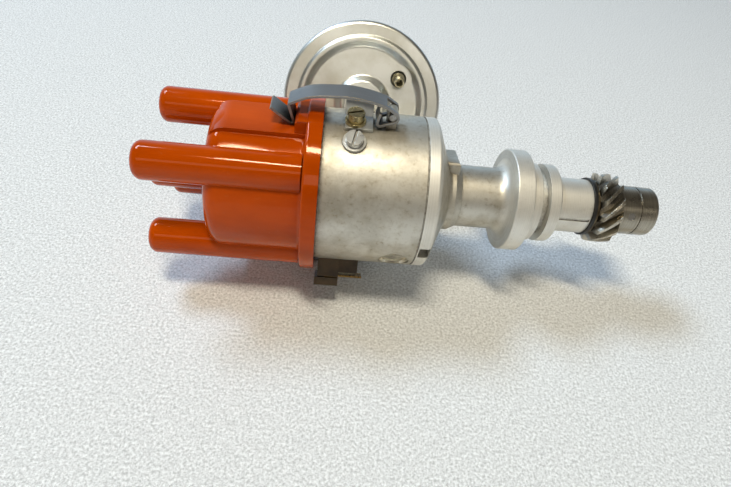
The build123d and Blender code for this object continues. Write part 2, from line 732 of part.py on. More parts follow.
with BuildPart() as can_front:
    can_turn(
        [
            (rod_hole_r, -can_boss_top), (boss_top_r, -can_boss_top), (boss_foot_r, -dish_depth),
            (dish_r, -dish_depth), (ridge_r - 1.2, -can_face + 1.9), (ridge_r + 0.9, -can_face + 1.9),
            (can_step_r, -can_face), (can_rim_r, -can_face), (can_rim_r, -edge_back),
            (can_rim_r - 2.6, -edge_back), (can_rim_r - 2.6, -edge_back + sheet),
            (can_rim_r - sheet, -edge_back + sheet), (can_rim_r - sheet, -can_face - sheet),
            (can_step_r - 0.6, -can_face - sheet), (ridge_r + 0.4, -can_face + 0.9),
            (ridge_r - 0.8, -can_face + 0.9), (dish_r + 0.6, -dish_depth - sheet),
            (boss_foot_r - 0.6, -dish_depth - sheet), (boss_top_r - 0.6, -can_boss_top - sheet),
            (rod_hole_r, -can_boss_top - sheet),
        ],
        rounds=[
            ((boss_top_r, -can_boss_top), 1.6), ((boss_foot_r, -dish_depth), 2.0),
            ((dish_r, -dish_depth), 1.8), ((ridge_r - 1.2, -can_face + 1.9), 0.9),
            ((ridge_r + 0.9, -can_face + 1.9), 0.9), ((can_step_r, -can_face), 0.4),
            ((can_rim_r, -can_face), 2.2), ((can_rim_r - sheet, -can_face - sheet), 1.2),
            ((can_rim_r, -edge_back), 1.2),
        ],
    )
    can_bar(well_x, well_y, -well_depth, -can_face + 1.0, well_r + 0.8)
    can_bar(well_x, well_y, -dish_depth, -can_face + 3.0, well_r + 3.0, mode=Mode.SUBTRACT)
    can_bar(well_x, well_y, -well_depth + 0.8, -can_face + 3.0, well_r, mode=Mode.SUBTRACT)
save(can_front, "can_front")

back_flange = edge_back - sheet
back_r = 34.0

with BuildPart() as can_back:
    can_turn(
        [
            (0, -can_face - can_depth), (back_r, -can_face - can_depth), (back_r, -back_flange),
            (can_rim_r - sheet - 0.1, -back_flange), (can_rim_r - sheet - 0.1, -back_flange + sheet),
            (back_r - sheet, -back_flange + sheet), (back_r - sheet, -can_face - can_depth + sheet),
            (0, -can_face - can_depth + sheet),
        ],
        rounds=[
            ((back_r, -can_face - can_depth), 5.0),
            ((back_r - sheet, -can_face - can_depth + sheet), 4.0),
            ((back_r, -back_flange), 0.6),
        ],
    )
save(can_back, "can_back")

disc_front = can_face + 7.4
disc_thickness = 1.0
edge_front = back_flange - sheet

with BuildPart() as diaphragm:
    can_turn(
        [
            (rod_r, -disc_front), (27.0, -disc_front), (31.5, -edge_front + 1.1),
            (can_rim_r - sheet - 0.2, -edge_front + 1.1), (can_rim_r - sheet - 0.2, -edge_front),
            (32.3, -edge_front), (27.8, -disc_front - disc_thickness), (rod_r, -disc_front - disc_thickness),
        ],
        rounds=[((27.0, -disc_front), 1.5), ((31.5, -edge_front + 1.1), 1.2)],
    )
save(diaphragm, "diaphragm")

piston_r = 19.0
piston_back = disc_front + disc_thickness + 1.2

with BuildPart() as diaphragm_piston:
    can_turn([(rod_r, -disc_front + 1.0), (14.0, -disc_front + 1.0), (14.0, -disc_front), (rod_r, -disc_front)])
save(diaphragm_piston, "diaphragm_washer")

with BuildPart() as piston:
    can_turn(
        [
            (rod_r, -disc_front - disc_thickness), (piston_r, -disc_front - disc_thickness),
            (piston_r, -piston_back - 1.6), (piston_r - 1.0, -piston_back - 1.6),
            (piston_r - 1.0, -piston_back), (rod_r, -piston_back),
        ],
    )
save(piston, "diaphragm_piston")

return_wire_r = 0.6

with BuildPart() as return_spring:
    spring_length = can_face + can_depth - sheet - piston_back - 2 * (return_wire_r + 0.1)
    coil_spring(Plane(origin=can_centre - forward * (piston_back + return_wire_r + 0.1), z_dir=forward * -1),
                12.0, spring_length, 4, return_wire_r)
save(return_spring, "return_spring")

eye_x = pull_pin_x + 0.7 - can_x
eye_thickness = 1.2

with BuildPart() as pull_rod:
    can_bar(0, 0, -piston_back - 1.0, -7.0, rod_r)
    with BuildSketch(Plane(origin=can_centre + Vector(eye_x, 0, 0), x_dir=forward, z_dir=(1, 0, 0))) as eye:
        with Locations((-4.0, 0)):
            SlotOverall(12.8, 2.4 * 2)
        with Locations(Rot(0, 0, 90)):
            SlotOverall(2 * (pull_pin_r + slot_gap) + 0.6, 2 * (pull_pin_r + slot_gap), mode=Mode.SUBTRACT)
    extrude(eye.sketch, amount=eye_thickness)
save(pull_rod, "pull_rod")

with BuildPart() as hose_nipple:
    base = can_centre + Vector(well_x, 0, 0) + upward * (well_y + 0.4) - forward * (well_depth - 0.8)
    tilt = radians(nipple_lean)
    tube_line = forward * cos(tilt) - upward * sin(tilt)
    with BuildSketch(Plane(origin=base, z_dir=tube_line)) as tube:
        Circle(nipple_r)
    extrude(tube.sketch, amount=nipple_length)
    chamfer(hose_nipple.faces().sort_by(Axis(base, tube_line))[-1].edges(), 0.3)
    with BuildSketch(Plane(origin=base, z_dir=tube_line)) as hose_stop:
        Circle(nipple_stop_r)
    extrude(hose_stop.sketch, amount=nipple_stop_length)
    with BuildSketch(Plane(origin=base, z_dir=tube_line).offset(3.0)) as tube_bore:
        Circle(nipple_bore_r)
    extrude(tube_bore.sketch, amount=nipple_length, mode=Mode.SUBTRACT)
    can_bar(well_x, well_y, -well_depth - 2.0, -well_depth + 0.8, well_r + 2.0, mode=Mode.SUBTRACT)
save(hose_nipple, "hose_nipple")

# ================= vacuum unit bracket =================
bracket_plane = Plane(origin=(bracket_x, 0, 0), x_dir=forward, z_dir=(-1, 0, 0))
tab_start = radians(bracket_screw_angle + 7.0 - ear_angle)
tab_end = radians(bracket_screw_angle - 9.0 - ear_angle)
tab_in = barrel_r + 0.05
tab_out = tab_in + bracket_sheet
upright_n = tab_in * sin(tab_end)
flange_n = -can_boss_top + bracket_sheet
arm_top = bracket_top + bracket_sheet

with BuildPart() as vacuum_bracket:
    with BuildSketch(bracket_plane) as tab_profile:
        with BuildLine():
            inner = CenterArc((0, 0), tab_in, 90 - tab_start * 180 / pi, (tab_start - tab_end) * 180 / pi)
            outer = CenterArc((0, 0), tab_out, 90 - tab_start * 180 / pi, (tab_start - tab_end) * 180 / pi)
            Line(inner @ 0, outer @ 0)
            Line(inner @ 1, outer @ 1)
        make_face()
    extrude(tab_profile.sketch, amount=bracket_width / 2, both=True)
    with BuildSketch(bracket_plane) as arm_profile:
        with BuildLine():
            Polyline(
                (upright_n, tab_in * cos(tab_end) + 0.2), (upright_n + bracket_sheet, tab_in * cos(tab_end) - 0.2),
                (upright_n + bracket_sheet, arm_top), (flange_n - bracket_sheet, arm_top),
                (flange_n - bracket_sheet, can_height - 6.0), (flange_n, can_height - 6.0),
                (flange_n, bracket_top), (upright_n, bracket_top), close=True,
            )
        make_face()
        fillet(arm_profile.vertices().sort_by_distance(Vector(upright_n + bracket_sheet, arm_top))[0], 2.0)
    extrude(arm_profile.sketch, amount=bracket_width / 2, both=True)
    can_bar(0, 0, -can_boss_top - 1.0, -can_boss_top + 4.0, rod_hole_r, mode=Mode.SUBTRACT)
    post(screw_x, bracket_screw_angle, barrel_r - 2.0, tab_out + 3.0, thread_r, mode=Mode.SUBTRACT)
save(vacuum_bracket, "vacuum_bracket")


# ================= screws =================
def screw(x, angle, seat_r, tip_r, slot_turn):
    """A slotted cheese-head screw whose head stands on seat_r."""
    post(x, angle, tip_r, seat_r, thread_r)
    post(x, angle, seat_r, seat_r + head_height, head_r)
    top = around(x, angle, seat_r + head_height - 1.1)
    with BuildSketch(top) as slot:
        Rectangle(2 * head_r + 1, 1.0, rotation=slot_turn)
    extrude(slot.sketch, amount=2.0, mode=Mode.SUBTRACT)


washer_r = 4.7
washer_thickness = 0.8

for side, name in ((0, "plate_screw_front"), (180, "plate_screw_back")):
    with BuildPart() as plate_screw:
        screw(screw_x, plate_screw_angle + side, barrel_r + 0.3 + washer_thickness, bore_r - 2.6, 78.0)
    save(plate_screw, name)
    with BuildPart() as plate_washer:
        post(screw_x, plate_screw_angle + side, barrel_r - 1.0, barrel_r + 0.3 + washer_thickness, washer_r)
        post(screw_x, plate_screw_angle + side, barrel_r - 2.0, barrel_r + 3.0, thread_r, mode=Mode.SUBTRACT)
        ring(rim_x, barrel_end_x, barrel_r, mode=Mode.SUBTRACT)
    save(plate_washer, name.replace("screw", "washer"))

small_washer_r = 4.2
lock_washer = 0.9
bracket_seat = tab_out + 0.2

with BuildPart() as bracket_washer:
    post(screw_x, bracket_screw_angle, bracket_seat - 1.0, bracket_seat + washer_thickness, small_washer_r)
    post(screw_x, bracket_screw_angle, tab_out - 2.0, tab_out + 3.0, thread_r, mode=Mode.SUBTRACT)
    ring(rim_x, barrel_end_x, tab_out, mode=Mode.SUBTRACT)
save(bracket_washer, "bracket_washer")

with BuildPart() as lock_ring:
    post(screw_x, bracket_screw_angle, bracket_seat + washer_thickness,
         bracket_seat + washer_thickness + lock_washer, head_r - 0.2)
    post(screw_x, bracket_screw_angle, tab_out, tab_out + 5.0, thread_r, mode=Mode.SUBTRACT)
    pad(screw_x + 3.0, bracket_screw_angle, tab_out, tab_out + 5.0, 3.0, 0.7, mode=Mode.SUBTRACT)
save(lock_ring, "lock_washer")

with BuildPart() as bracket_screw:
    screw(screw_x, bracket_screw_angle, bracket_seat + washer_thickness + lock_washer, bore_r - 1.6, 20.0)
save(bracket_screw, "bracket_screw")

# ================= cap clips =================
eye_r = clip_pin_r + clip_sheet / 2 + 2 * fit_gap
window_r = 5.4


def spring_clip():
    """A spring clip bent from strip: a finger tab, a V that hooks the cap, a bow and a closed eye."""
    top = clip_pin_height
    with BuildLine(Plane.XZ) as bend_line:
        hook = FilletPolyline(
            (rim_x - 20.8, top - 0.5), (rim_x - 11.0, top - 8.0), (rim_x - 13.9, top + 1.7),
            (rim_x - 9.0, top + 4.3), radius=0.8,
        )
        bow = Spline(
            hook @ 1, (rim_x + 3.3, top + 6.7), (rim_x + 9.5, top + 7.0), (rim_x + 15.8, top + 6.3),
            (rim_x + 24.0, top + 4.2), tangents=(hook % 1, (0.93, -0.35)),
        )
        eye_arc = CenterArc((clip_pin_x, clip_pin_height), eye_r, 60, -120)
        Spline(bow @ 1, eye_arc @ 0, tangents=(bow % 1, eye_arc % 0))
        FilletPolyline(eye_arc @ 1, (rim_x + 20.5, top - 4.8), (rim_x + 21.8, top + 1.3), radius=1.2)
    path = bend_line.wire()
    with BuildSketch(Plane(origin=path @ 0, x_dir=(0, 1, 0), z_dir=path % 0)) as strip:
        Rectangle(clip_width, clip_sheet)
    sweep(strip.sketch, path=path)
    with BuildSketch(Plane.XZ) as window:
        with Locations((clip_pin_x, clip_pin_height)):
            Circle(window_r)
    extrude(window.sketch, amount=clip_window / 2, both=True, mode=Mode.SUBTRACT)


with BuildPart() as upper_clip:
    spring_clip()
save(upper_clip, "upper_clip")

with BuildPart() as lower_clip:
    spring_clip()
lower_clip.part = Rot(180, 0, 0) * lower_clip.part
save(lower_clip, "lower_clip")

for side, name in ((1, "upper_clip_pin"), (-1, "lower_clip_pin")):
    with BuildPart() as clip_pin:
        with BuildSketch(Plane.XZ) as pin_profile:
            with Locations((clip_pin_x, side * clip_pin_height)):
                Circle(clip_pin_r)
        extrude(pin_profile.sketch, amount=clip_width / 2 - 0.3, both=True)
    save(clip_pin, name)

# ================= low-tension terminal =================
block_start_x = rim_x + 1.9
block_break_x = rim_x + 11.2
block_end_x = rim_x + 19.7
block_width = 13.0
block_height = 7.6
block_top_r = barrel_r + block_height
blade_thickness = 0.8

with BuildPart() as terminal_block:
    pad((block_start_x + block_break_x) / 2, block_angle, barrel_r - 2.0, block_top_r,
        block_break_x - block_start_x, block_width)
    pad((block_break_x + block_end_x) / 2, block_angle, barrel_r - 2.0, block_top_r - 1.8,
        block_end_x - block_break_x, block_width - 3.0)
    pad((block_start_x + block_break_x) / 2 - 0.6, block_angle, block_top_r + blade_thickness,
        block_top_r + blade_thickness + 3.4, block_break_x - block_start_x + 1.2, block_width)
    pad(block_start_x + 1.5, block_angle, block_top_r - 1.0, block_top_r + 2.0, 3.0, block_width - 4.0)
    ring(rim_x, barrel_end_x, barrel_r, mode=Mode.SUBTRACT)
    post(block_x, block_angle, bore_r - 1.5, barrel_r + 1.0, block_stem_r)
    post(block_x, block_angle, bore_r - 3.0, block_top_r, 1.2, mode=Mode.SUBTRACT)
save(terminal_block, "terminal_block")

with BuildPart() as terminal_blade:
    pad((block_start_x + 3.0 + block_end_x + 2.3) / 2, block_angle, block_top_r,
        block_top_r + blade_thickness, block_end_x + 2.3 - block_start_x - 3.0, 6.3)
    post(block_x, block_angle, bore_r - 2.5, block_top_r + 0.2, 1.2)
save(terminal_blade, "terminal_blade")
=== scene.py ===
import bpy, json, math
from mathutils import Matrix, Vector

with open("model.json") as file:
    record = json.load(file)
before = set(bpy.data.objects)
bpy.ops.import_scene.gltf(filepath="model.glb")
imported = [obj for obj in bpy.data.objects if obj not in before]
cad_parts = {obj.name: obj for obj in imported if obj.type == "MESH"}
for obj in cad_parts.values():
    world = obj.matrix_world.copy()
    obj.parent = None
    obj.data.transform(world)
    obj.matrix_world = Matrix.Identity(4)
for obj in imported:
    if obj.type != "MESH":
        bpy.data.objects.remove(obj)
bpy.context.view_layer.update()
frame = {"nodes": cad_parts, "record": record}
nodes = frame["nodes"]

# the camera's place is in mm from the shaft's axis, and is then turned about it
camera = {
    "lens": 26.07, "sensor": 36.0, "near": 0.01, "far": 20.0,
    "away": (3.943, 0.0, 237.5), "start": -90.0,
    "yaw": 0.0783, "pitch": 0.1058, "roll": -0.0882, "turn": math.radians(50.8),
}


def makeCamera(c):
    data = bpy.data.cameras.new("camera")
    data.lens, data.sensor_width = c["lens"], c["sensor"]
    data.clip_start, data.clip_end = c["near"], c["far"]
    cam = bpy.data.objects.new("camera", data)
    bpy.context.scene.collection.objects.link(cam)
    look = (Matrix.Rotation(c["roll"], 3, "Z") @ Matrix.Rotation(c["pitch"], 3, "X")
            @ Matrix.Rotation(c["yaw"], 3, "Y"))
    turn = Matrix.Rotation(c["turn"], 3, "X")
    spot = turn @ Vector(c["away"]) + Vector((c["start"], 0, 0))
    cam.matrix_world = Matrix.Translation(spot / 1000) @ (turn @ look.transposed()).to_4x4()
    bpy.context.scene.camera = cam


makeCamera(camera)
bpy.context.scene.view_settings.view_transform = "Standard"
print("camera ready")


# small helpers for building materials; t is always the node tree being built
def finish(name, **values):
    m = bpy.data.materials.new(name)
    m.use_nodes = True
    t = m.node_tree
    t.nodes.clear()
    out = t.nodes.new("ShaderNodeOutputMaterial")
    skin = t.nodes.new("ShaderNodeBsdfPrincipled")
    t.links.new(skin.outputs[0], out.inputs[0])
    for key, value in values.items():
        skin.inputs[key.replace("_", " ")].default_value = value
    return m, t, skin


def node(t, kind, feeds=None, **settings):
    n = t.nodes.new("ShaderNode" + kind)
    for key, value in settings.items():
        setattr(n, key, value)
    for key, value in (feeds or {}).items():
        if isinstance(value, bpy.types.NodeSocket):
            t.links.new(value, n.inputs[key])
        else:
            n.inputs[key].default_value = value
    return n


def objectSpot(t):
    return node(t, "TexCoord").outputs["Object"]


# a pattern is its scale, detail, roughness and stretch
def cloud(t, spot, scale, detail=4.0, rough=0.55, stretch=None):
    if stretch:
        spot = node(t, "Mapping", {0: spot, 3: stretch}).outputs[0]
    return node(t, "TexNoise", {"Vector": spot, "Scale": scale, "Detail": detail, "Roughness": rough}).outputs[0]


# a span runs from low to high and comes out as start to end
def spread(t, fac, low, high, start=0.0, end=1.0):
    return node(t, "MapRange", {0: fac, 1: low, 2: high, 3: start, 4: end}).outputs[0]


def work(t, how, a, b=0.0):
    return node(t, "Math", {0: a, 1: b}, operation=how).outputs[0]


def tint(t, fac, a, b):
    n = node(t, "Mix", {0: fac}, data_type="RGBA")
    for socket, value in ((6, a), (7, b)):
        if isinstance(value, bpy.types.NodeSocket):
            t.links.new(value, n.inputs[socket])
        else:
            n.inputs[socket].default_value = (*value, 1)
    return n.outputs[2]


# painted shade in corners, found by ambient occlusion: how far it reaches, then how much it leaves and takes
def paintedCornerShade(t, depth, low, high):
    n = node(t, "AmbientOcclusion", {"Distance": depth}, samples=6)
    return spread(t, n.outputs["AO"], low, high, 1.0, 0.0)


def bump(t, skin, height, strength, depth, edge):
    soft = node(t, "Bevel", {"Radius": edge}, samples=4).outputs[0]
    feeds = {"Strength": strength, "Distance": depth, "Height": height, "Normal": soft}
    t.links.new(node(t, "Bump", feeds).outputs[0], skin.inputs["Normal"])


def feed(t, skin, **sockets):
    for key, value in sockets.items():
        t.links.new(value, skin.inputs[key.replace("_", " ")])


# turning marks: noise that only changes along the axis and with the radius
def lathe(t, spot, pitch):
    xyz = node(t, "SeparateXYZ", {0: spot})
    x, y, z = xyz.outputs
    r = work(t, "SQRT", work(t, "ADD", work(t, "MULTIPLY", y, y), work(t, "MULTIPLY", z, z)))
    flat = node(t, "CombineXYZ", {0: work(t, "MULTIPLY", x, pitch), 1: work(t, "MULTIPLY", r, pitch)}).outputs[0]
    return cloud(t, flat, 1.0, 3.0, 0.6), x, r


# cap resin: glossy, moulded, with faint flow marks
resin = {
    "base": (0.56, 0.074, 0.0), "deep": (0.30, 0.032, 0.0), "dust": (0.50, 0.20, 0.08),
    "gloss": 0.25, "glossTint": (1.0, 0.5, 0.3, 1.0), "coat": 0.22, "coatRough": 0.03,
    "flow": (26, 5, 0.6, (0.35, 1, 1)), "flowSpan": (0.35, 0.7), "fine": (420, 3), "fineRelief": 0.04,
    "mote": (900, 2), "moteSpan": (0.62, 0.8), "moteShare": 0.12,
    "shadeReach": (0.004, 0.35, 0.9), "shadeShare": 0.55, "cornerRough": 0.12,
    "smear": (60, 4), "smearSpan": (0.4, 0.75), "rough": (0.055, 0.175),
    "bump": 0.12, "relief": 0.0008, "edge": 0.00035,
}


def capResin(c):
    m, t, skin = finish("capResin", Specular_IOR_Level=c["gloss"], Specular_Tint=c["glossTint"],
                        Coat_Weight=c["coat"], Coat_Roughness=c["coatRough"])
    spot = objectSpot(t)
    flow = cloud(t, spot, *c["flow"])
    fine = cloud(t, spot, *c["fine"])
    # painted shade: the colour turns to the deep tone in corners found by ambient occlusion, and those corners are made
    # rougher
    paintedShade = paintedCornerShade(t, *c["shadeReach"])
    motes = spread(t, cloud(t, spot, *c["mote"]), *c["moteSpan"])
    colour = tint(t, spread(t, flow, *c["flowSpan"]), c["base"], c["deep"])
    colour = tint(t, work(t, "MULTIPLY", motes, c["moteShare"]), colour, c["dust"])
    colour = tint(t, work(t, "MULTIPLY", paintedShade, c["shadeShare"]), colour, c["deep"])
    rough = work(t, "ADD", spread(t, cloud(t, spot, *c["smear"]), *c["smearSpan"], *c["rough"]),
                 work(t, "MULTIPLY", paintedShade, c["cornerRough"]))
    feed(t, skin, Base_Color=colour, Roughness=rough)
    height = work(t, "ADD", flow, work(t, "MULTIPLY", fine, c["fineRelief"]))
    bump(t, skin, height, c["bump"], c["relief"], c["edge"])
    return m


# cast aluminium of the housing, turned bright on the band at the barrel's foot and from the collar on
alloy = {
    "skin": (0.64, 0.62, 0.56), "stain": (0.32, 0.285, 0.22), "tan": (0.40, 0.345, 0.25),
    "bright": (0.86, 0.845, 0.79), "paintedShade": (0.09, 0.075, 0.05),
    "bandSpan": (-0.0477, -0.0475), "coneSpan": (-0.0424, -0.0410),
    "collarSpan": (-0.0081, -0.0078), "neckSpan": (-0.0088, -0.0118),
    "blotch": (55, 6, 0.65), "blotchSpan": (0.40, 0.66, 0, 0.62), "speck": (520, 4, 0.7),
    "speckSpan": (0.55, 0.78, 0, 0.34), "pit": (260, 5, 0.75), "pitSpan": (0.58, 0.76, 0, 0.5),
    "tanPatch": (130, 7, 0.7), "tanSpan": (0.46, 0.72, 0, 0.55),
    "latheMarks": 2600.0, "marksSpan": (0.35, 0.7, 0.0, 0.5), "turnedStain": 0.30,
    "shadeReach": (0.003, 0.4, 0.85), "shadeBreak": (0.3, 0.6, 0.35, 1.0), "cornerRough": 0.25,
    "castRough": 0.47, "turnedRough": 0.50, "blotchRough": (0.35, 0.75, -0.04, 0.12),
    "castMetal": 1.0, "turnedMetal": 0.86,
    "grain": (900, 4, 0.65), "castMarks": 0.06, "turnedMarks": 0.05,
    "bump": 0.35, "relief": 0.00012, "edge": 0.0003,
}


def castAlloy(c):
    m, t, skin = finish("castAlloy", Metallic=c["castMetal"])
    spot = objectSpot(t)
    marks, x, _ = lathe(t, spot, c["latheMarks"])
    turned = work(t, "MAXIMUM", spread(t, x, *c["bandSpan"]), spread(t, x, *c["collarSpan"]))
    rawCone = work(t, "MULTIPLY", spread(t, x, *c["coneSpan"]), spread(t, x, *c["neckSpan"]))
    turned = work(t, "SUBTRACT", turned, rawCone)
    blotch = cloud(t, spot, *c["blotch"])
    speck = cloud(t, spot, *c["speck"])
    pits = cloud(t, spot, *c["pit"])
    stain = work(t, "ADD", spread(t, blotch, *c["blotchSpan"]), spread(t, speck, *c["speckSpan"]))
    stain = work(t, "MINIMUM", work(t, "ADD", stain, spread(t, pits, *c["pitSpan"])), 1.0)
    tan = spread(t, cloud(t, spot, *c["tanPatch"]), *c["tanSpan"])
    cast = tint(t, tan, tint(t, stain, c["skin"], c["stain"]), c["tan"])
    bright = tint(t, spread(t, marks, *c["marksSpan"]), c["bright"], c["skin"])
    bright = tint(t, work(t, "MULTIPLY", stain, c["turnedStain"]), bright, c["stain"])
    # painted shade: corners darken towards the shade colour by ambient occlusion, broken up by the specks, and are made
    # rougher
    paintedShade = work(t, "MULTIPLY", paintedCornerShade(t, *c["shadeReach"]), spread(t, speck, *c["shadeBreak"]))
    colour = tint(t, paintedShade, tint(t, turned, cast, bright), c["paintedShade"])
    rough = work(t, "ADD", spread(t, turned, 0, 1, c["castRough"], c["turnedRough"]),
                 spread(t, blotch, *c["blotchRough"]))
    rough = work(t, "ADD", rough, work(t, "MULTIPLY", paintedShade, c["cornerRough"]))
    metal = spread(t, turned, 0, 1, c["castMetal"], c["turnedMetal"])
    feed(t, skin, Base_Color=colour, Roughness=rough, Metallic=metal)
    grain = work(t, "MULTIPLY", work(t, "SUBTRACT", 1.0, turned), cloud(t, spot, *c["grain"]))
    marksHigh = work(t, "ADD", work(t, "MULTIPLY", turned, c["turnedMarks"]), c["castMarks"])
    height = work(t, "ADD", grain, work(t, "MULTIPLY", marks, marksHigh))
    bump(t, skin, height, c["bump"], c["relief"], c["edge"])
    return m


# zinc-plated and bare steel in its shades, all worn in one way and given painted shade in their corners
steels = {
    "canZinc": {"base": (0.80, 0.82, 0.81), "patch": (0.56, 0.55, 0.47), "rough": 0.34, "big": 30, "edge": 0.0004},
    "whiteZinc": {"base": (0.86, 0.87, 0.86), "patch": (0.58, 0.58, 0.55), "rough": 0.30, "big": 160, "edge": 0.0002},
    "bracketZinc": {"base": (0.86, 0.89, 0.90), "patch": (0.52, 0.54, 0.54), "rough": 0.38, "big": 70, "edge": 0.0003},
    "yellowZinc": {"base": (0.78, 0.68, 0.38), "patch": (0.40, 0.32, 0.20), "rough": 0.27, "big": 200, "edge": 0.0002},
    "nippleSteel": {"base": (0.70, 0.66, 0.50), "patch": (0.42, 0.38, 0.24), "rough": 0.30, "big": 220, "edge": 0.00015},
    "plateSteel": {"base": (0.55, 0.51, 0.40), "patch": (0.38, 0.36, 0.30), "rough": 0.32, "big": 90, "edge": 0.0002},
    "plugSteel": {"base": (0.90, 0.85, 0.70), "patch": (0.22, 0.18, 0.11), "rough": 0.19, "big": 150, "edge": 0.0002},
    "sinterSteel": {"base": (0.33, 0.33, 0.32), "patch": (0.20, 0.19, 0.17), "rough": 0.42, "big": 150, "edge": 0.0003},
    "pinSteel": {"base": (0.34, 0.33, 0.31), "patch": (0.16, 0.14, 0.12), "rough": 0.30, "big": 240, "edge": 0.0002},
    "springSteel": {"base": (0.30, 0.30, 0.31), "patch": (0.18, 0.17, 0.16), "rough": 0.3, "big": 200, "edge": 0.0001},
}
steelWearAndShade = {
    "patch": (5, 0.6), "patchSpan": (0.40, 0.72), "speck": (700, 3, 0.65), "speckSpan": (0.64, 0.82, 0, 0.5),
    "paintedShade": (0.06, 0.05, 0.035), "shadeReach": (0.002, 0.35, 0.85), "shadeShare": 0.7, "cornerRough": 0.3,
    "roughSpan": (0.35, 0.75), "smoother": 0.05, "rougher": 0.1,
    "speckRelief": 0.35, "bump": 0.25, "relief": 0.0001,
}


def platedSteel(name, c, w):
    m, t, skin = finish(name, Metallic=1.0)
    spot = objectSpot(t)
    patch = cloud(t, spot, c["big"], *w["patch"])
    speck = cloud(t, spot, *w["speck"])
    # painted shade: corners darken towards the shade colour by ambient occlusion, and are made rougher
    paintedShade = paintedCornerShade(t, *w["shadeReach"])
    colour = tint(t, spread(t, patch, *w["patchSpan"]), c["base"], c["patch"])
    colour = tint(t, spread(t, speck, *w["speckSpan"]), colour, c["patch"])
    colour = tint(t, work(t, "MULTIPLY", paintedShade, w["shadeShare"]), colour, w["paintedShade"])
    rough = spread(t, patch, *w["roughSpan"], c["rough"] - w["smoother"], c["rough"] + w["rougher"])
    rough = work(t, "ADD", rough, work(t, "MULTIPLY", paintedShade, w["cornerRough"]))
    feed(t, skin, Base_Color=colour, Roughness=rough)
    height = work(t, "ADD", patch, work(t, "MULTIPLY", speck, w["speckRelief"]))
    bump(t, skin, height, w["bump"], w["relief"], c["edge"])
    return m


# dark phosphated spring steel of the clips, worn to a warm tone along the edges
phosphate = {
    "base": (0.25, 0.25, 0.25), "rub": (0.42, 0.415, 0.41), "worn": (0.50, 0.38, 0.22), "paintedShade": (0.02, 0.018, 0.015),
    "metal": 0.85, "rubPatch": (90, 5, 0.6, (0.3, 1, 1)), "rubSpan": (0.5, 0.8, 0, 0.6), "rough": (0.3, 0.8, 0.46, 0.34),
    "speck": (900, 3), "wornRadius": 0.00045, "wornSpan": (0.97, 0.80), "wornBreak": (0.3, 0.6, 0.3, 1.0),
    "shadeReach": (0.006, 0.35, 0.85), "speckRelief": 0.5, "bump": 0.2, "relief": 0.00008, "edge": 0.0003,
}


def clipSteel(c):
    m, t, skin = finish("clipSteel", Metallic=c["metal"])
    spot = objectSpot(t)
    rub = cloud(t, spot, *c["rubPatch"])
    speck = cloud(t, spot, *c["speck"])
    soft = node(t, "Bevel", {"Radius": c["wornRadius"]}, samples=6).outputs[0]
    flat = node(t, "NewGeometry").outputs["Normal"]
    apart = node(t, "VectorMath", {0: soft, 1: flat}, operation="DOT_PRODUCT").outputs["Value"]
    worn = work(t, "MULTIPLY", spread(t, apart, *c["wornSpan"]), spread(t, speck, *c["wornBreak"]))
    colour = tint(t, spread(t, rub, *c["rubSpan"]), c["base"], c["rub"])
    colour = tint(t, worn, colour, c["worn"])
    # painted shade: corners darken by ambient occlusion
    colour = tint(t, paintedCornerShade(t, *c["shadeReach"]), colour, c["paintedShade"])
    feed(t, skin, Base_Color=colour, Roughness=spread(t, rub, *c["rough"]))
    height = work(t, "ADD", rub, work(t, "MULTIPLY", speck, c["speckRelief"]))
    bump(t, skin, height, c["bump"], c["relief"], c["edge"])
    return m


# machined steel of the shaft and the gear: painted shade between the teeth and in corners, and dark on the gear's hub
machined = {
    "gearSteel": {"base": (0.40, 0.365, 0.30), "dark": (0.05, 0.040, 0.028), "land": (0.74, 0.69, 0.58),
                  "hub": 0.62, "rough": 0.27},
    "shaftSteel": {"base": (0.48, 0.47, 0.45), "dark": (0.20, 0.19, 0.17), "land": (0.55, 0.54, 0.52),
                   "hub": 1.0, "rough": 0.22},
}
machinedWearAndShade = {
    "latheMarks": 3400.0, "marksSpan": (0.3, 0.7), "hubSpan": (0.0444, 0.0447), "rootSpan": (0.0120, 0.0152, 1.0, 0.0),
    "oil": (140, 5, 0.65), "oilSpan": (0.5, 0.8, 0, 0.45), "darkShare": 0.75, "shadeReach": (0.002, 0.15, 0.6),
    "roughSpan": (0.3, 0.75), "smoother": 0.04, "rougher": 0.14, "bump": 0.3, "relief": 0.00008, "edge": 0.00025,
}


def machinedSteel(name, c, w):
    m, t, skin = finish(name, Metallic=1.0)
    spot = objectSpot(t)
    marks, x, r = lathe(t, spot, w["latheMarks"])
    hub = spread(t, x, *w["hubSpan"])
    oil = cloud(t, spot, *w["oil"])
    # the colour darkens from 15 mm radius inwards, away from the hub: on the gear this is painted shade towards the
    # tooth roots
    root = work(t, "MULTIPLY", spread(t, r, *w["rootSpan"]), work(t, "SUBTRACT", 1.0, hub))
    dark = work(t, "MAXIMUM", root, spread(t, oil, *w["oilSpan"]))
    colour = tint(t, spread(t, marks, *w["marksSpan"]), c["base"], c["land"])
    colour = tint(t, work(t, "MULTIPLY", dark, w["darkShare"]), colour, c["dark"])
    colour = tint(t, work(t, "MULTIPLY", hub, 1.0 - c["hub"]), colour, c["dark"])
    # painted shade: corners darken towards the dark tone by ambient occlusion
    colour = tint(t, paintedCornerShade(t, *w["shadeReach"]), colour, c["dark"])
    rough = spread(t, oil, *w["roughSpan"], c["rough"] - w["smoother"], c["rough"] + w["rougher"])
    feed(t, skin, Base_Color=colour, Roughness=rough)
    bump(t, skin, marks, w["bump"], w["relief"], w["edge"])
    return m


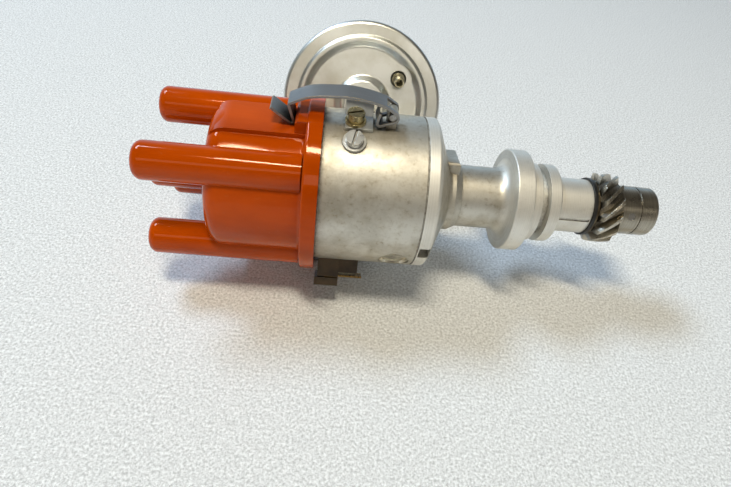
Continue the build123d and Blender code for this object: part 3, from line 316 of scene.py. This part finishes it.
# brass, bronze, fibre, rubber, dark resin, carbon and magnet
plain = {
    "brassBright": {"base": (0.62, 0.40, 0.13), "patch": (0.34, 0.20, 0.07), "rough": 0.25, "metal": 1.0},
    "brassAged": {"base": (0.17, 0.14, 0.09), "patch": (0.09, 0.07, 0.045), "rough": 0.42, "metal": 1.0},
    "bronzeOiled": {"base": (0.30, 0.20, 0.10), "patch": (0.16, 0.11, 0.06), "rough": 0.45, "metal": 1.0},
    "blackFibre": {"base": (0.006, 0.006, 0.006), "patch": (0.014, 0.013, 0.012), "rough": 0.36, "metal": 0.0},
    "rubberBlack": {"base": (0.02, 0.02, 0.02), "patch": (0.04, 0.038, 0.035), "rough": 0.6, "metal": 0.0},
    "darkResin": {"base": (0.075, 0.048, 0.022), "patch": (0.028, 0.018, 0.010), "rough": 0.38, "metal": 0.0},
    "carbonDull": {"base": (0.02, 0.02, 0.022), "patch": (0.05, 0.05, 0.05), "rough": 0.55, "metal": 0.0},
    "magnetDull": {"base": (0.05, 0.05, 0.052), "patch": (0.09, 0.085, 0.08), "rough": 0.5, "metal": 0.6},
}
plainWear = {
    "patch": (150, 5, 0.6), "patchSpan": (0.4, 0.7), "fine": (1100, 3), "fineSpan": (0.3, 0.7),
    "smoother": 0.06, "rougher": 0.08, "fineRelief": 0.4, "bump": 0.2, "relief": 0.0001, "edge": 0.0002,
}


def plainFinish(name, c, w):
    m, t, skin = finish(name, Metallic=c["metal"])
    spot = objectSpot(t)
    patch = cloud(t, spot, *w["patch"])
    fine = cloud(t, spot, *w["fine"])
    colour = tint(t, spread(t, patch, *w["patchSpan"]), c["base"], c["patch"])
    rough = spread(t, fine, *w["fineSpan"], c["rough"] - w["smoother"], c["rough"] + w["rougher"])
    feed(t, skin, Base_Color=colour, Roughness=rough)
    height = work(t, "ADD", patch, work(t, "MULTIPLY", fine, w["fineRelief"]))
    bump(t, skin, height, w["bump"], w["relief"], w["edge"])
    return m


finishes = {"capResin": capResin(resin), "castAlloy": castAlloy(alloy), "clipSteel": clipSteel(phosphate)}
finishes.update({name: platedSteel(name, c, steelWearAndShade) for name, c in steels.items()})
finishes.update({name: machinedSteel(name, c, machinedWearAndShade) for name, c in machined.items()})
finishes.update({name: plainFinish(name, c, plainWear) for name, c in plain.items()})
print(len(finishes), "finishes mixed")

slotFinish = {
    "cap_resin": "capResin", "cast_aluminium": "castAlloy", "plug_steel": "plugSteel", "bronze": "bronzeOiled",
    "brass": "brassBright", "spring_steel": "springSteel", "plate_steel": "plateSteel", "dark_resin": "darkResin",
    "white_zinc": "whiteZinc", "yellow_zinc": "yellowZinc", "bracket_zinc": "bracketZinc", "can_zinc": "canZinc",
    "diaphragm_rubber": "rubberBlack", "nipple_steel": "nippleSteel", "pin_steel": "pinSteel",
    "shaft_steel": "shaftSteel", "black_fibre": "blackFibre", "gear_steel": "gearSteel", "magnet": "magnetDull",
    "coil_resin": "darkResin", "rod_steel": "plateSteel", "weight_steel": "sinterSteel",
    "clip_steel": "clipSteel", "carbon": "carbonDull",
}
ownFinish = {"brass_washer": "brassAged"}  # darker than its slot: it runs in old oil beside the gear
for part in frame["record"]["subparts"]:
    name, slot = part["node"], part["material_slot"]
    shape = nodes[name]
    shape.data.materials.clear()
    shape.data.materials.append(finishes[ownFinish.get(name, slotFinish[slot])])
print("finishes on", len(nodes), "nodes")


# the floor lies just under the lowest clip
floorPaint = {
    "colour": (0.75, 0.77, 0.79), "fleck": 0.32, "pattern": (900, 3, 0.8), "span": (0.35, 0.65),
    "rough": 0.8, "gloss": 0.12, "height": -0.0466, "reach": 3.0,
}
# soft room light, warm from the front and blue from the back; the eye itself sees a plain backdrop
room = {
    "front": (1.0, 0.93, 0.82), "back": (0.52, 0.76, 1.0), "dim": 0.045, "glow": 0.95, "skirt": 0.50,
    "backSpan": (0.1, 0.85), "overheadSpan": (0.15, 0.75, 1.0, 0.0), "skirtSpan": (0.05, 0.45),
    "backdrop": (0.80, 0.82, 0.84),
}
lamps = {
    "ceilingLamp": {"toward": (-0.10, -0.17, 0.98), "away": 1.5, "size": (0.50, 0.14), "power": 13.8,
                    "colour": (1.0, 0.90, 0.70)},
    "windowLamp": {"toward": (-0.50, 0.38, 0.80), "away": 2.6, "size": (0.9, 0.5), "power": 38.0,
                   "colour": (0.62, 0.80, 1.0)},
    "frontLamp": {"toward": (0.05, -0.74, 0.67), "away": 1.5, "size": (1.7, 0.32), "power": 2.8,
                  "colour": (1.0, 0.92, 0.76)},
}
lampAim = (-0.06, 0, 0)


def makeFloor(c):
    mesh = bpy.data.meshes.new("floor")
    w, z = c["reach"], c["height"]
    mesh.from_pydata([(-w, -w, z), (w, -w, z), (w, w, z), (-w, w, z)], [], [(0, 1, 2, 3)])
    floor = bpy.data.objects.new("floor", mesh)
    bpy.context.scene.collection.objects.link(floor)
    m, t, skin = finish("floorPaint", Roughness=c["rough"], Specular_IOR_Level=c["gloss"])
    fleck = cloud(t, objectSpot(t), *c["pattern"])
    low, high = (tuple(v * k for v in c["colour"]) for k in (1 - c["fleck"], 1 + c["fleck"]))
    feed(t, skin, Base_Color=tint(t, spread(t, fleck, *c["span"]), low, high))
    mesh.materials.append(m)


def makeWorld(c):
    world = bpy.data.worlds.new("room")
    bpy.context.scene.world = world
    world.use_nodes = True
    t = world.node_tree
    t.nodes.clear()
    out = t.nodes.new("ShaderNodeOutputWorld")
    _, back, up = node(t, "SeparateXYZ", {0: node(t, "TexCoord").outputs["Generated"]}).outputs
    toBack = work(t, "MULTIPLY", spread(t, back, *c["backSpan"]), spread(t, up, *c["overheadSpan"]))
    skirt = spread(t, up, *c["skirtSpan"], c["skirt"], 0.0)
    strength = work(t, "MAXIMUM", spread(t, toBack, 0, 1, c["dim"], c["glow"]), skirt)
    glow = node(t, "Background", {0: tint(t, toBack, c["front"], c["back"]), 1: strength}).outputs[0]
    backdrop = node(t, "Background", {0: (*c["backdrop"], 1), 1: 1.0}).outputs[0]
    isCamera = node(t, "LightPath").outputs["Is Camera Ray"]
    t.links.new(node(t, "MixShader", {0: isCamera, 1: glow, 2: backdrop}).outputs[0], out.inputs[0])


def makeLamp(name, c):
    data = bpy.data.lights.new(name, "AREA")
    data.shape, data.size, data.size_y = "RECTANGLE", *c["size"]
    data.energy, data.color = c["power"], c["colour"]
    lamp = bpy.data.objects.new(name, data)
    bpy.context.scene.collection.objects.link(lamp)
    way = Vector(c["toward"]).normalized()
    lamp.location = Vector(lampAim) + way * c["away"]
    lamp.rotation_euler = way.to_track_quat("Z", "Y").to_euler()


makeFloor(floorPaint)
makeWorld(room)
for name, c in lamps.items():
    makeLamp(name, c)
print("floor, room and lamps ready")
